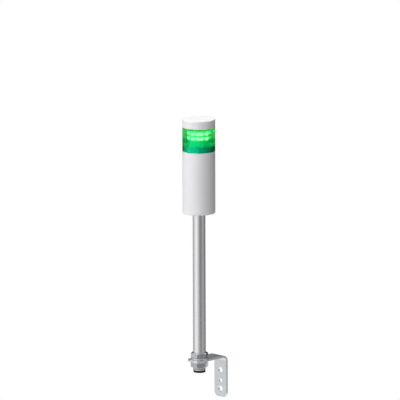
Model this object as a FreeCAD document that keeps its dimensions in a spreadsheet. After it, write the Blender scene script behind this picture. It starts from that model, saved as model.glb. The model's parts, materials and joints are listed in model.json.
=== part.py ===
"""Single-tier LED signal light on a pole, with its L-shaped wall bracket.

Millimetres, +Z up.  The origin is the middle of the two wall bolts, on the bracket's wall face,
with the wall on the +Y side.  The pole stands at x = 0, in front of the wall.
"""
import FreeCAD, Part
import os

import Sketcher
from FreeCAD import Placement, Rotation, Vector

doc = FreeCAD.newDocument("StackLight")

# ---------------------------------------------------------------- driving dimensions

SIZES = {
    # outside of the head
    "head_diameter": 40,
    "cap_height": 9.9,
    "cap_wall": 2.4,
    "cap_roof": 2.4,
    "cap_edge_radius": 0.8,
    "lens_height": 29.2,
    "lens_wall": 2.4,
    "lens_shoulder": 2.4,
    "lens_edge_radius": 0.6,
    "prism_count": 60,
    "prism_depth": 0.8,
    "body_height": 76.8,
    "body_wall": 2.4,
    "body_floor": 4,
    "body_edge_radius": 1,
    # bayonet joints between body, LED unit and cap
    "bayonet_room": 1.6,
    "neck_wall": 1.6,
    "lug_thickness": 1.6,
    "lug_angle": 30,
    "lug_count": 3,
    "seal_thickness": 1,
    "turn_gap": 0.15,
    "slip": 0.3,
    "fit_gap": 0.05,
    # LED unit
    "base_thickness": 3,
    "collar_height": 6.8,
    "collar_wall": 2,
    "post_across_flats": 15,
    "post_bore": 8,
    "post_top_gap": 4,
    "post_turn": 8,
    "strip_width": 5,
    "strip_thickness": 0.8,
    "led_width": 3,
    "led_height": 2.8,
    "led_depth": 1.2,
    "led_columns": 8,
    "led_rows": 2,
    "low_row_height": 12.8,
    "row_pitch": 5.85,
    # contacts between LED unit and control board
    "disc_thickness": 1.2,
    "ring_count": 3,
    "ring_thickness": 0.3,
    "ring_width": 2,
    "first_ring_radius": 4,
    "ring_pitch": 3.5,
    "contact_diameter": 1.4,
    "contact_barrel_diameter": 2.2,
    "contact_barrel_depth": 4,
    "contact_stroke": 3.85,
    "contact_block_end": 1.5,
    "contact_block_width": 8,
    "contact_block_height": 7,
    # control board
    "board_thickness": 1.6,
    "board_side_gap": 1.1,
    "rail_thickness": 1.5,
    "rail_reach": 4,
    "rail_shortfall": 8,
    "terminal_length": 18,
    "terminal_depth": 9,
    "terminal_height": 10,
    "terminal_lift": 4,
    "terminal_pitch": 5,
    "wire_hole_diameter": 2.5,
    "wire_hole_depth": 6,
    "capacitor_diameter": 8,
    "capacitor_length": 11,
    "capacitor_drop": 13,
    "chip_size": 6,
    "chip_depth": 1.6,
    "chip_count": 3,
    "chip_pitch": 9.5,
    "chip_lift": 6,
    # pole and its socket in the body
    "pole_diameter": 15.5,
    "pole_wall": 1.5,
    "pole_visible": 174,
    "pole_end_drop": 4.4,
    "pole_chamfer": 0.5,
    "thread_relief": 0.1,
    "thread_above_nut": 0.6,
    "socket_flange_gap": 0.8,
    "socket_flange_thickness": 3,
    "socket_wall": 2.2,
    "socket_height": 17,
    "socket_lip": 2,
    "socket_lip_reach": 2,
    "socket_screw_edge": 2.4,
    "socket_screw_count": 3,
    "socket_screw_diameter": 2.5,
    "socket_screw_length": 6,
    "screw_head_diameter": 4.5,
    "screw_head_height": 1.6,
    "pilot_extra": 0.4,
    "grub_diameter": 4,
    "grub_lift": 9,
    "grub_key_width": 2,
    "grub_key_depth": 1.6,
    # bush in the pole's lower end
    "bush_flange_inset": 0.2,
    "bush_flange_thickness": 1.8,
    "bush_edge_radius": 0.6,
    "bush_spigot_length": 6,
    "cable_bore": 8,
    # nuts and washers on the bracket
    "nut_across_flats": 19,
    "nut_thickness": 6.6,
    "nut_chamfer_inset": 0.4,
    "nut_chamfer_angle": 30,
    "upper_nut_turn": 29.6,
    "lower_nut_turn": 27,
    "washer_diameter": 21,
    "washer_thickness": 1.7,
    "washer_edge": 0.25,
    "lock_washer_thickness": 1.2,
    "lock_tooth_count": 12,
    "lock_tooth_depth": 1.4,
    "lock_notch_width": 2,
    "thread_clearance": 0.05,
    # wall bracket
    "plate_thickness": 2.4,
    "bracket_width": 20.6,
    "wall_gap": 36.2,
    "front_overhang": 13,
    "wall_leg_length": 53.4,
    "bend_radius": 5,
    "corner_radius": 6.2,
    "pole_hole_clearance": 0.3,
    "bolt_hole_diameter": 7.5,
    "middle_hole_diameter": 5.8,
    "bolt_spacing": 23.5,
    "bolt_hole_edge": 10,
    "middle_hole_drop": 13.2,
}

dims = doc.addObject("Spreadsheet::Sheet", "dims")
for row, (alias, value) in enumerate(SIZES.items(), start=1):
    dims.set(f"A{row}", alias)
    dims.set(f"B{row}", str(value))
    dims.setAlias(f"B{row}", alias)
doc.recompute()

# Heights above the origin, from the bracket up the pole to the cap, as sums of the sizes above.
LEG_FOOT = "(-dims.bolt_spacing / 2 - dims.bolt_hole_edge)"
PLATE_TOP = f"({LEG_FOOT} + dims.wall_leg_length)"
PLATE_UNDERSIDE = f"({PLATE_TOP} - dims.plate_thickness)"
LOWER_NUT_BASE = f"({PLATE_UNDERSIDE} - dims.lock_washer_thickness - dims.nut_thickness)"
POLE_BASE = f"({LOWER_NUT_BASE} - dims.pole_end_drop)"
UPPER_NUT_BASE = f"({PLATE_TOP} + dims.washer_thickness)"
BODY_BASE = f"({UPPER_NUT_BASE} + dims.nut_thickness + dims.pole_visible)"
SOCKET_BASE = f"({BODY_BASE} + dims.body_floor)"
SOCKET_TOP = f"({SOCKET_BASE} + dims.socket_flange_thickness + dims.socket_height)"
POLE_TOP = f"({SOCKET_TOP} - dims.socket_lip)"
BODY_TOP = f"({BODY_BASE} + dims.body_height)"
UNIT_BASE = f"({BODY_TOP} + dims.turn_gap)"
LENS_TOP = f"({UNIT_BASE} + dims.lens_height)"
CAP_BASE = f"({LENS_TOP} + dims.turn_gap)"

# The control board fills what the socket below and the contacts above leave of the body.
RING_FACE = f"({UNIT_BASE} - dims.disc_thickness - dims.ring_thickness)"
BLOCK_TOP = f"({RING_FACE} - dims.slip - dims.contact_stroke)"
BOARD_TOP = f"({BLOCK_TOP} - dims.contact_block_height)"
BOARD_HEIGHT = f"({BOARD_TOP} - {SOCKET_TOP})"
POST_HEIGHT = "(dims.lens_height - dims.base_thickness - dims.post_top_gap)"

# Distances from the pole's axis.
POLE_FROM_WALL = "(dims.wall_gap + dims.plate_thickness)"
HEAD_RADIUS = "(dims.head_diameter / 2)"
CAP_INSIDE = f"({HEAD_RADIUS} - dims.cap_wall)"
LENS_INSIDE = f"({HEAD_RADIUS} - dims.lens_wall)"
BODY_INSIDE = f"({HEAD_RADIUS} - dims.body_wall)"
LUG_REACH = "(dims.bayonet_room - dims.slip)"
POLE_RADIUS = "(dims.pole_diameter / 2)"
POLE_BORE = f"({POLE_RADIUS} - dims.pole_wall)"
THREAD_RADIUS = f"({POLE_RADIUS} - dims.thread_relief)"
THREAD_HOLE = f"({THREAD_RADIUS} + dims.thread_clearance)"
SOCKET_FLANGE = f"({BODY_INSIDE} - dims.socket_flange_gap)"
SCREW_CENTRE = f"({SOCKET_FLANGE} - dims.socket_screw_edge)"
SCREW_HOLE = "(dims.socket_screw_diameter + 2 * dims.fit_gap)"
SOCKET_BORE = f"({POLE_RADIUS} + dims.fit_gap)"
SOCKET_BOSS = f"({SOCKET_BORE} + dims.socket_wall)"

# Steps of a bayonet joint, from its mouth: seal, the shell's lug, then the neck's lug.
SHELL_LUG_START = "(dims.seal_thickness + dims.slip)"
SHELL_LUG_END = f"({SHELL_LUG_START} + dims.lug_thickness)"
NECK_LUG_START = f"({SHELL_LUG_END} + dims.slip)"
NECK_LENGTH = f"({NECK_LUG_START} + dims.lug_thickness)"


# ---------------------------------------------------------------- helpers

def size(expression):
    """Value of an expression in the sheet's sizes."""
    return float(dims.evalExpression(str(expression)))


def new_body(label):
    """Empty body that stands on the pole's axis."""
    body = doc.addObject("PartDesign::Body", label)
    body.Label = label
    return body


def place(piece, height, across="0", turn=0.0):
    """Set a sub-part on the pole's axis at a height, moved across and turned about the axis."""
    piece.Placement = Placement(Vector(), Rotation(Vector(0, 0, 1), turn))
    piece.setExpression("Placement.Base.x", across)
    piece.setExpression("Placement.Base.y", f"-{POLE_FROM_WALL}")
    piece.setExpression("Placement.Base.z", height)
    return piece


def origin_feature(body, role):
    """One of the body's own origin planes or axes."""
    return next(item for item in body.Origin.OriginFeatures if item.Role == role)


def new_sketch(body, name, role, lift="0"):
    """Sketch on one of the body's origin planes, lifted along the plane's normal."""
    sketch = body.newObject("Sketcher::SketchObject", name)
    sketch.AttachmentSupport = [(origin_feature(body, role), "")]
    sketch.MapMode = "FlatFace"
    sketch.setExpression("AttachmentOffset.Base.z", lift)
    return sketch


def fix_point(sketch, element, point, across, up):
    """Hold a point of the sketch at two expressions, measured from the sketch's origin."""
    for kind, axis, expression in (("DistanceX", -2, across), ("DistanceY", -1, up)):
        value = size(expression)
        if abs(value) < 1e-9:
            sketch.addConstraint(Sketcher.Constraint("PointOnObject", element, point, axis))
            continue
        index = sketch.addConstraint(Sketcher.Constraint(kind, -1, 1, element, point, value))
        name = f"{kind}_{element}_{point}"
        sketch.renameConstraint(index, name)
        sketch.setExpression(f"Constraints.{name}", expression)


def draw_outline(sketch, corners):
    """Closed outline of straight lines through corners given as pairs of expressions."""
    points = [Vector(size(across), size(up), 0) for across, up in corners]
    lines = []
    for start, end in zip(points, points[1:] + points[:1]):
        lines.append(sketch.addGeometry(Part.LineSegment(start, end)))
    for line, following in zip(lines, lines[1:] + lines[:1]):
        sketch.addConstraint(Sketcher.Constraint("Coincident", line, 2, following, 1))
    for line, (across, up) in zip(lines, corners):
        fix_point(sketch, line, 1, across, up)
    return sketch


def draw_rectangle(sketch, left, right, low, high):
    """Upright rectangle between four expressions."""
    return draw_outline(sketch, [(left, low), (right, low), (right, high), (left, high)])


def draw_circle(sketch, diameter, across="0", up="0"):
    """Circle with its centre held and its diameter bound to an expression."""
    centre = Vector(size(across), size(up), 0)
    circle = sketch.addGeometry(Part.Circle(centre, Vector(0, 0, 1), size(diameter) / 2))
    fix_point(sketch, circle, 3, across, up)
    index = sketch.addConstraint(Sketcher.Constraint("Diameter", circle, size(diameter)))
    name = f"Diameter_{circle}"
    sketch.renameConstraint(index, name)
    sketch.setExpression(f"Constraints.{name}", diameter)
    return sketch


def draw_polygon(sketch, sides, across_flats):
    """Regular polygon about the sketch's origin, with a flat facing its horizontal axis."""
    corner = f"{across_flats} / 2 / cos({180 / sides})"
    angles = [(index + 0.5) * 360 / sides for index in range(sides)]
    return draw_outline(sketch, [(f"{corner} * cos({a})", f"{corner} * sin({a})") for a in angles])


def revolve(body, name, outline_corners, *more_outlines):
    """Ring or cup: closed outlines of (radius, height) turned about the body's Z axis."""
    sketch = new_sketch(body, f"{name}_sketch", "XZ_Plane")
    for corners in (outline_corners,) + more_outlines:
        draw_outline(sketch, corners)
    feature = body.newObject("PartDesign::Revolution", name)
    feature.Profile = sketch
    feature.ReferenceAxis = (sketch, ["V_Axis"])
    feature.Angle = 360
    doc.recompute()
    return feature


def groove(body, name, outline_corners, *more_outlines):
    """Cut closed outlines of (radius, height), turned about the body's Z axis."""
    before = body.Shape.Volume
    sketch = new_sketch(body, f"{name}_sketch", "XZ_Plane")
    for corners in (outline_corners,) + more_outlines:
        draw_outline(sketch, corners)
    feature = body.newObject("PartDesign::Groove", name)
    feature.Profile = sketch
    feature.ReferenceAxis = (sketch, ["V_Axis"])
    feature.Angle = 360
    doc.recompute()
    check_cut(body, name, before)
    return feature


def pad(body, name, sketch, length, symmetric=False):
    """Raise a sketch by a length, or by half of it to each side."""
    feature = body.newObject("PartDesign::Pad", name)
    feature.Profile = sketch
    feature.SideType = "Symmetric" if symmetric else "One side"
    feature.setExpression("Length", length)
    doc.recompute()
    return feature


def pocket(body, name, sketch, depth=None, reverse=False):
    """Cut a sketch to a depth, or right through both ways where no depth is given."""
    before = body.Shape.Volume
    feature = body.newObject("PartDesign::Pocket", name)
    feature.Profile = sketch
    if depth is None:
        feature.SideType = "Symmetric"
        feature.Type = "ThroughAll"
    else:
        feature.setExpression("Length", depth)
        feature.Reversed = reverse
    doc.recompute()
    check_cut(body, name, before)
    return feature


def check_cut(body, name, volume_before):
    """Stop where a cut has taken nothing away."""
    if body.Shape.Volume > volume_before - 1e-6:
        raise RuntimeError(f"{body.Label}: {name} cuts nothing")


def repeat_round(body, name, feature, count):
    """Repeat a feature evenly about the body's Z axis."""
    pattern = body.newObject("PartDesign::PolarPattern", name)
    pattern.Originals = [feature]
    pattern.Axis = (origin_feature(body, "Z_Axis"), [""])
    pattern.Angle = 360
    pattern.setExpression("Occurrences", count)
    body.Tip = pattern
    doc.recompute()
    return pattern


def repeat_along(body, name, feature, role, pitch, count):
    """Repeat a feature in a row along one of the body's axes."""
    pattern = body.newObject("PartDesign::LinearPattern", name)
    pattern.Originals = [feature]
    pattern.Direction = (origin_feature(body, role), [""])
    pattern.setExpression("Length", f"{pitch} * ({count} - 1)")
    pattern.setExpression("Occurrences", count)
    body.Tip = pattern
    doc.recompute()
    return pattern


def circles_at(body, radius, height):
    """Names of the body's whole circular edges of one radius at one height."""
    names = []
    for index, edge in enumerate(body.Shape.Edges, start=1):
        curve = edge.Curve
        if not isinstance(curve, Part.Circle) or not edge.isClosed():
            continue
        if abs(curve.Radius - size(radius)) < 1e-4 and abs(curve.Center.z - size(height)) < 1e-4:
            names.append(f"Edge{index}")
    return names


def edges_through(body, test):
    """Names of the body's straight edges whose middle passes a test."""
    names = []
    for index, edge in enumerate(body.Shape.Edges, start=1):
        if isinstance(edge.Curve, Part.Line) and test(edge.CenterOfMass):
            names.append(f"Edge{index}")
    return names


def fillet(body, name, edge_names, radius):
    """Round the named edges of the body's last feature."""
    base = body.Tip
    feature = body.newObject("PartDesign::Fillet", name)
    feature.Base = (base, edge_names)
    feature.setExpression("Radius", radius)
    doc.recompute()
    return feature


def sector(body, name, inner, outer, low, high):
    """Lug: a block between two radii and two heights, swept over the lug angle."""
    sketch = new_sketch(body, f"{name}_sketch", "XZ_Plane")
    draw_rectangle(sketch, inner, outer, low, high)
    feature = body.newObject("PartDesign::Revolution", name)
    feature.Profile = sketch
    feature.ReferenceAxis = (sketch, ["V_Axis"])
    feature.setExpression("Angle", "dims.lug_angle")
    doc.recompute()
    return repeat_round(body, f"{name}s", feature, "dims.lug_count")


# ---------------------------------------------------------------- wall bracket

def wall_bracket():
    """Folded L: a leg that carries the pole, and a wall leg with two bolt holes and a smaller one."""
    body = new_body("wall_bracket")
    end = "-dims.front_overhang"
    inner = "dims.wall_gap"
    outer = POLE_FROM_WALL
    foot = "(-dims.wall_leg_length)"
    corners = [(end, "0"), (end, "-dims.plate_thickness"), (inner, "-dims.plate_thickness"),
               (inner, foot), (outer, foot), (outer, "0")]
    sketch = draw_outline(new_sketch(body, "bracket_side", "YZ_Plane"), corners)
    pad(body, "folded_strip", sketch, "dims.bracket_width", symmetric=True)

    def inside_bend(middle):
        return abs(middle.y - size(inner)) < 1e-4 and abs(middle.z + size("dims.plate_thickness")) < 1e-4

    def outside_bend(middle):
        return abs(middle.y - size(outer)) < 1e-4 and abs(middle.z) < 1e-4

    def free_corner(middle):
        at_side = abs(abs(middle.x) - size("dims.bracket_width") / 2) < 1e-4
        at_end = abs(middle.y - size(end)) < 1e-4 or abs(middle.z - size(foot)) < 1e-4
        return at_side and at_end

    fillet(body, "inside_bend", edges_through(body, inside_bend), "dims.bend_radius")
    fillet(body, "outside_bend", edges_through(body, outside_bend),
           "dims.bend_radius + dims.plate_thickness")
    fillet(body, "free_corners", edges_through(body, free_corner), "dims.corner_radius")

    pole_hole = new_sketch(body, "pole_hole_sketch", "XY_Plane")
    draw_circle(pole_hole, f"2 * ({THREAD_RADIUS} + dims.pole_hole_clearance)")
    pocket(body, "pole_hole", pole_hole)

    wall_holes = new_sketch(body, "wall_hole_sketch", "XZ_Plane")
    top_hole = f"({foot} + dims.bolt_hole_edge + dims.bolt_spacing)"
    draw_circle(wall_holes, "dims.bolt_hole_diameter", up=top_hole)
    draw_circle(wall_holes, "dims.middle_hole_diameter", up=f"{top_hole} - dims.middle_hole_drop")
    draw_circle(wall_holes, "dims.bolt_hole_diameter", up=f"{foot} + dims.bolt_hole_edge")
    pocket(body, "wall_holes", wall_holes)
    return place(body, PLATE_TOP)


# ---------------------------------------------------------------- nuts and washers

def upper_washer():
    """Flat washer with broken edges."""
    body = new_body("upper_washer")
    inner = THREAD_HOLE
    outer = "dims.washer_diameter / 2"
    edge = "dims.washer_edge"
    top = "dims.washer_thickness"
    revolve(body, "washer_ring",
            [(inner, "0"), (f"{outer} - {edge}", "0"), (outer, edge), (outer, f"{top} - {edge}"),
             (f"{outer} - {edge}", top), (inner, top)])
    return place(body, PLATE_TOP)


def lock_washer():
    """Washer with teeth round its hole."""
    body = new_body("lock_washer")
    inner = THREAD_HOLE
    outer = "dims.washer_diameter / 2"
    revolve(body, "lock_ring", [(inner, "0"), (outer, "0"), (outer, "dims.lock_washer_thickness"),
                                (inner, "dims.lock_washer_thickness")])
    notch = new_sketch(body, "notch_sketch", "XY_Plane")
    half = "dims.lock_notch_width / 2"
    draw_rectangle(notch, "0", f"{inner} + dims.lock_tooth_depth", f"-{half}", half)
    cut = pocket(body, "notch", notch)
    repeat_round(body, "teeth", cut, "dims.lock_tooth_count")
    return place(body, f"{PLATE_UNDERSIDE} - dims.lock_washer_thickness")


def hexagon_nut(label, height, turn):
    """Hexagon nut with both ends chamfered."""
    body = new_body(label)
    outline = draw_polygon(new_sketch(body, f"{label}_flats", "XY_Plane"), 6, "dims.nut_across_flats")
    pad(body, f"{label}_blank", outline, "dims.nut_thickness")
    start = "(dims.nut_across_flats / 2 - dims.nut_chamfer_inset)"
    beyond = "dims.nut_across_flats"
    fall = f"({beyond} - {start}) * tan(dims.nut_chamfer_angle)"
    top = "dims.nut_thickness"
    groove(body, f"{label}_chamfers",
           [(start, top), (beyond, top), (beyond, f"{top} - {fall}")],
           [(start, "0"), (beyond, "0"), (beyond, fall)])
    bore = draw_circle(new_sketch(body, f"{label}_bore_sketch", "XY_Plane"), f"2 * {THREAD_HOLE}")
    pocket(body, f"{label}_bore", bore)
    return place(body, height, turn=size(turn))


# ---------------------------------------------------------------- pole

def pole_tube():
    """Aluminium tube; its lower end is turned down for the thread and its rim is chamfered."""
    body = new_body("pole_tube")
    bore = POLE_BORE
    chamfer = "dims.pole_chamfer"
    thread = f"({UPPER_NUT_BASE} + dims.nut_thickness + dims.thread_above_nut - {POLE_BASE})"
    length = f"({POLE_TOP} - {POLE_BASE})"
    revolve(body, "tube_wall",
            [(bore, "0"), (f"{THREAD_RADIUS} - {chamfer}", "0"), (THREAD_RADIUS, chamfer),
             (THREAD_RADIUS, thread), (POLE_RADIUS, thread),
             (POLE_RADIUS, length), (bore, length)])
    return place(body, POLE_BASE)


def cable_bush():
    """Bush pressed into the pole's lower end, with a rounded lip below it."""
    body = new_body("cable_bush")
    bore = "dims.cable_bore / 2"
    lip = f"{THREAD_RADIUS} - dims.bush_flange_inset"
    spigot = f"{POLE_BORE} - dims.fit_gap"
    low = "-dims.bush_flange_thickness"
    high = "dims.bush_spigot_length"
    revolve(body, "bush_section",
            [(bore, low), (lip, low), (lip, "0"), (spigot, "0"), (spigot, high), (bore, high)])
    fillet(body, "bush_edge", circles_at(body, lip, low), "dims.bush_edge_radius")
    return place(body, POLE_BASE)


# ---------------------------------------------------------------- socket that holds the pole

def pole_socket():
    """Flanged socket on the body's floor; the pole's end stops under its lip."""
    body = new_body("pole_socket")
    flange = SOCKET_FLANGE
    flange_top = "dims.socket_flange_thickness"
    bore = SOCKET_BORE
    boss = SOCKET_BOSS
    top = "(dims.socket_flange_thickness + dims.socket_height)"
    stop = f"{top} - dims.socket_lip"
    lip = f"{POLE_RADIUS} - dims.socket_lip_reach"
    revolve(body, "socket_section",
            [(bore, "0"), (flange, "0"), (flange, flange_top), (boss, flange_top), (boss, top),
             (lip, top), (lip, stop), (bore, stop)])
    hole = new_sketch(body, "flange_hole_sketch", "XY_Plane")
    draw_circle(hole, SCREW_HOLE, across=SCREW_CENTRE)
    cut = pocket(body, "flange_hole", hole)
    repeat_round(body, "flange_holes", cut, "dims.socket_screw_count")
    grub = new_sketch(body, "grub_hole_sketch", "YZ_Plane")
    draw_circle(grub, "dims.grub_diameter + 2 * dims.fit_gap", up=f"{flange_top} + dims.grub_lift")
    pocket(body, "grub_hole", grub, boss, reverse=True)
    return place(body, SOCKET_BASE)


def socket_screws():
    """Screws through the socket's flange into the floor: one node of separate solids."""
    body = new_body("socket_screws")
    shank = "dims.socket_screw_diameter"
    centre = SCREW_CENTRE
    shank_sketch = new_sketch(body, "shank_sketch", "XY_Plane", "-dims.socket_screw_length")
    draw_circle(shank_sketch, shank, across=centre)
    shank_pad = pad(body, "shank", shank_sketch, "dims.socket_screw_length")
    head_sketch = new_sketch(body, "head_sketch", "XY_Plane")
    draw_circle(head_sketch, "dims.screw_head_diameter", across=centre)
    head_pad = pad(body, "screw_head", head_sketch, "dims.screw_head_height")
    pattern = repeat_round(body, "screws", shank_pad, "dims.socket_screw_count")
    pattern.Originals = [shank_pad, head_pad]
    doc.recompute()
    return place(body, f"{SOCKET_BASE} + dims.socket_flange_thickness")


def grub_screw():
    """Headless screw through the socket's wall that bears on the pole."""
    body = new_body("grub_screw")
    length = f"({SOCKET_BOSS} - {POLE_RADIUS})"
    round_bar = draw_circle(new_sketch(body, "grub_sketch", "YZ_Plane"), "dims.grub_diameter")
    pad(body, "grub_bar", round_bar, length)
    key = new_sketch(body, "key_sketch", "YZ_Plane", length)
    draw_polygon(key, 6, "dims.grub_key_width")
    pocket(body, "key_recess", key, "dims.grub_key_depth")
    height = f"{SOCKET_BASE} + dims.socket_flange_thickness + dims.grub_lift"
    return place(body, height, across=POLE_RADIUS)


# ---------------------------------------------------------------- body housing

def body_housing():
    """Moulded cup: floor with the pole hole, board rails, and bayonet lugs in its mouth."""
    body = new_body("body_housing")
    hole = f"{POLE_RADIUS} + dims.fit_gap"
    top = "dims.body_height"
    revolve(body, "housing_cup",
            [(hole, "0"), (HEAD_RADIUS, "0"), (HEAD_RADIUS, top), (BODY_INSIDE, top),
             (BODY_INSIDE, "dims.body_floor"), (hole, "dims.body_floor")])
    fillet(body, "housing_edge", circles_at(body, HEAD_RADIUS, "0"), "dims.body_edge_radius")

    rails = new_sketch(body, "rail_sketch", "XY_Plane",
                       "dims.body_floor + dims.socket_flange_thickness + dims.socket_height")
    near = "(dims.board_thickness / 2 + dims.fit_gap)"
    far = f"{near} + dims.rail_thickness"
    reach = f"{BODY_INSIDE} - dims.rail_reach"
    rooted = f"{BODY_INSIDE} + dims.body_wall / 2"
    draw_rectangle(rails, reach, rooted, near, far)
    draw_rectangle(rails, reach, rooted, f"-({far})", f"-{near}")
    rail_pair = pad(body, "rail_pair", rails, f"{BOARD_HEIGHT} - dims.rail_shortfall")
    repeat_round(body, "rails", rail_pair, "2")

    sector(body, "housing_lug", f"{BODY_INSIDE} - {LUG_REACH}", f"{BODY_INSIDE} + dims.body_wall / 2",
           f"{top} - {SHELL_LUG_END}", f"{top} - {SHELL_LUG_START}")

    pilot = new_sketch(body, "pilot_sketch", "XY_Plane", "dims.body_floor")
    draw_circle(pilot, SCREW_HOLE, across=SCREW_CENTRE)
    depth = "dims.socket_screw_length - dims.socket_flange_thickness + dims.pilot_extra"
    cut = pocket(body, "pilot_hole", pilot, depth)
    repeat_round(body, "pilot_holes", cut, "dims.socket_screw_count")
    return place(body, BODY_BASE)


# ---------------------------------------------------------------- control board

def control_board():
    """Upright board between the rails, standing on the socket."""
    board = doc.addObject("Part::Box", "control_board")
    board.Label = "control_board"
    half_width = f"({BODY_INSIDE} - dims.board_side_gap)"
    board.setExpression("Length", f"2 * {half_width}")
    board.setExpression("Width", "dims.board_thickness")
    board.setExpression("Height", BOARD_HEIGHT)
    board.setExpression("Placement.Base.x", f"-{half_width}")
    board.setExpression("Placement.Base.y", f"-{POLE_FROM_WALL} - dims.board_thickness / 2")
    board.setExpression("Placement.Base.z", SOCKET_TOP)
    return board


def board_chips():
    """Column of square chips on the board's front face."""
    body = new_body("board_chips")
    face = new_sketch(body, "chip_sketch", "XZ_Plane", "dims.board_thickness / 2")
    half = "dims.chip_size / 2"
    low = "dims.chip_lift"
    draw_rectangle(face, f"-{half}", half, low, f"{low} + dims.chip_size")
    chip = pad(body, "chip", face, "dims.chip_depth")
    repeat_along(body, "chips", chip, "Z_Axis", "dims.chip_pitch", "dims.chip_count")
    return place(body, SOCKET_TOP)


def terminal_block():
    """Block for the lead's wires at the foot of the board, with its wire holes underneath."""
    body = new_body("terminal_block")
    back = "-dims.board_thickness / 2"
    sketch = new_sketch(body, "terminal_sketch", "XZ_Plane", f"{back} - dims.terminal_depth")
    half = "dims.terminal_length / 2"
    low = "dims.terminal_lift"
    draw_rectangle(sketch, f"-{half}", half, low, f"{low} + dims.terminal_height")
    pad(body, "terminal_case", sketch, "dims.terminal_depth")
    holes = new_sketch(body, "wire_hole_sketch", "XY_Plane", low)
    for step in (-1, 0, 1):
        draw_circle(holes, "dims.wire_hole_diameter", across=f"{step} * dims.terminal_pitch",
                    up="dims.board_thickness / 2 + dims.terminal_depth / 2")
    pocket(body, "wire_holes", holes, "dims.wire_hole_depth", reverse=True)
    return place(body, SOCKET_TOP)


def capacitor():
    """Round capacitor that stands out from the board above the terminals."""
    body = new_body("capacitor")
    back = "-dims.board_thickness / 2"
    sketch = new_sketch(body, "can_sketch", "XZ_Plane", f"{back} - dims.capacitor_length")
    draw_circle(sketch, "dims.capacitor_diameter", up=f"{BOARD_HEIGHT} - dims.capacitor_drop")
    pad(body, "can", sketch, "dims.capacitor_length")
    return place(body, SOCKET_TOP)


def contact_block():
    """Holder on the board's top edge, bored for the sprung contacts."""
    body = new_body("contact_block")
    block = new_sketch(body, "block_sketch", "XY_Plane")
    last_ring = "dims.first_ring_radius + (dims.ring_count - 1) * dims.ring_pitch"
    half_length = f"({last_ring} + dims.contact_block_end)"
    half_width = "dims.contact_block_width / 2"
    draw_rectangle(block, f"-{half_length}", half_length, f"-{half_width}", half_width)
    pad(body, "block", block, "dims.contact_block_height")
    bore = new_sketch(body, "barrel_sketch", "XY_Plane", "dims.contact_block_height")
    draw_circle(bore, "dims.contact_barrel_diameter + 2 * dims.fit_gap", across="dims.first_ring_radius")
    cut = pocket(body, "barrel_bore", bore, "dims.contact_barrel_depth")
    repeat_along(body, "barrel_bores", cut, "X_Axis", "dims.ring_pitch", "dims.ring_count")
    return place(body, BOARD_TOP)


def spring_contacts():
    """Sprung contacts, one under each contact ring: one node of separate solids."""
    body = new_body("spring_contacts")
    centre = "dims.first_ring_radius"
    barrel_sketch = new_sketch(body, "contact_barrel_sketch", "XY_Plane", "-dims.contact_barrel_depth")
    draw_circle(barrel_sketch, "dims.contact_barrel_diameter", across=centre)
    barrel = pad(body, "contact_barrel", barrel_sketch, "dims.contact_barrel_depth")
    tip_sketch = new_sketch(body, "contact_tip_sketch", "XY_Plane")
    draw_circle(tip_sketch, "dims.contact_diameter", across=centre)
    tip = pad(body, "contact_tip", tip_sketch, "dims.contact_stroke")
    pattern = repeat_along(body, "contacts", barrel, "X_Axis", "dims.ring_pitch", "dims.ring_count")
    pattern.Originals = [barrel, tip]
    doc.recompute()
    return place(body, BLOCK_TOP)


# ---------------------------------------------------------------- LED unit

def unit_base():
    """Cup that closes the lens from below, with the bayonet neck that enters the body."""
    body = new_body("unit_base")
    disc = f"{LENS_INSIDE} - dims.fit_gap"
    neck = f"({BODY_INSIDE} - dims.bayonet_room)"
    neck_inside = f"({neck} - dims.neck_wall)"
    foot = f"-{NECK_LENGTH} + dims.turn_gap"
    thickness = "dims.base_thickness"
    rim = "dims.collar_height"
    collar = f"({disc} - dims.collar_wall)"
    revolve(body, "base_section",
            [("0", "0"), (neck_inside, "0"), (neck_inside, foot), (neck, foot), (neck, "0"),
             (disc, "0"), (disc, rim), (collar, rim), (collar, thickness), ("0", thickness)])
    sector(body, "base_lug", f"{neck} - dims.neck_wall / 2", f"{neck} + {LUG_REACH}",
           foot, f"{foot} + dims.lug_thickness")
    return place(body, UNIT_BASE)


def contact_disc():
    """Round board under the unit base, inside the neck."""
    disc = doc.addObject("Part::Cylinder", "contact_disc")
    disc.Label = "contact_disc"
    disc.setExpression("Radius", f"{BODY_INSIDE} - dims.bayonet_room - dims.neck_wall - dims.fit_gap")
    disc.setExpression("Height", "dims.disc_thickness")
    return place(disc, f"{UNIT_BASE} - dims.disc_thickness")


def contact_rings():
    """Copper rings under the contact disc: one node of separate solids."""
    body = new_body("contact_rings")
    rings = []
    for index in range(int(size("dims.ring_count"))):
        middle = f"(dims.first_ring_radius + {index} * dims.ring_pitch)"
        inner = f"{middle} - dims.ring_width / 2"
        outer = f"{middle} + dims.ring_width / 2"
        rings.append([(inner, "0"), (outer, "0"), (outer, "dims.ring_thickness"),
                      (inner, "dims.ring_thickness")])
    revolve(body, "rings", *rings)
    return place(body, RING_FACE)


def led_post():
    """Eight-sided hollow post that carries the LED strips."""
    body = new_body("led_post")
    sketch = new_sketch(body, "post_sketch", "XY_Plane")
    draw_polygon(sketch, SIZES["led_columns"], "dims.post_across_flats")
    draw_circle(sketch, "dims.post_bore")
    pad(body, "post", sketch, POST_HEIGHT)
    return place(body, f"{UNIT_BASE} + dims.base_thickness", turn=size("dims.post_turn"))


def led_strips():
    """Narrow circuit strip on each flat of the post: one node of separate solids."""
    body = new_body("led_strips")
    sketch = new_sketch(body, "strip_sketch", "XY_Plane")
    face = "dims.post_across_flats / 2"
    half = "dims.strip_width / 2"
    draw_rectangle(sketch, face, f"{face} + dims.strip_thickness", f"-{half}", half)
    strip = pad(body, "strip", sketch, POST_HEIGHT)
    repeat_round(body, "strips", strip, "dims.led_columns")
    return place(body, f"{UNIT_BASE} + dims.base_thickness", turn=size("dims.post_turn"))


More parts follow.
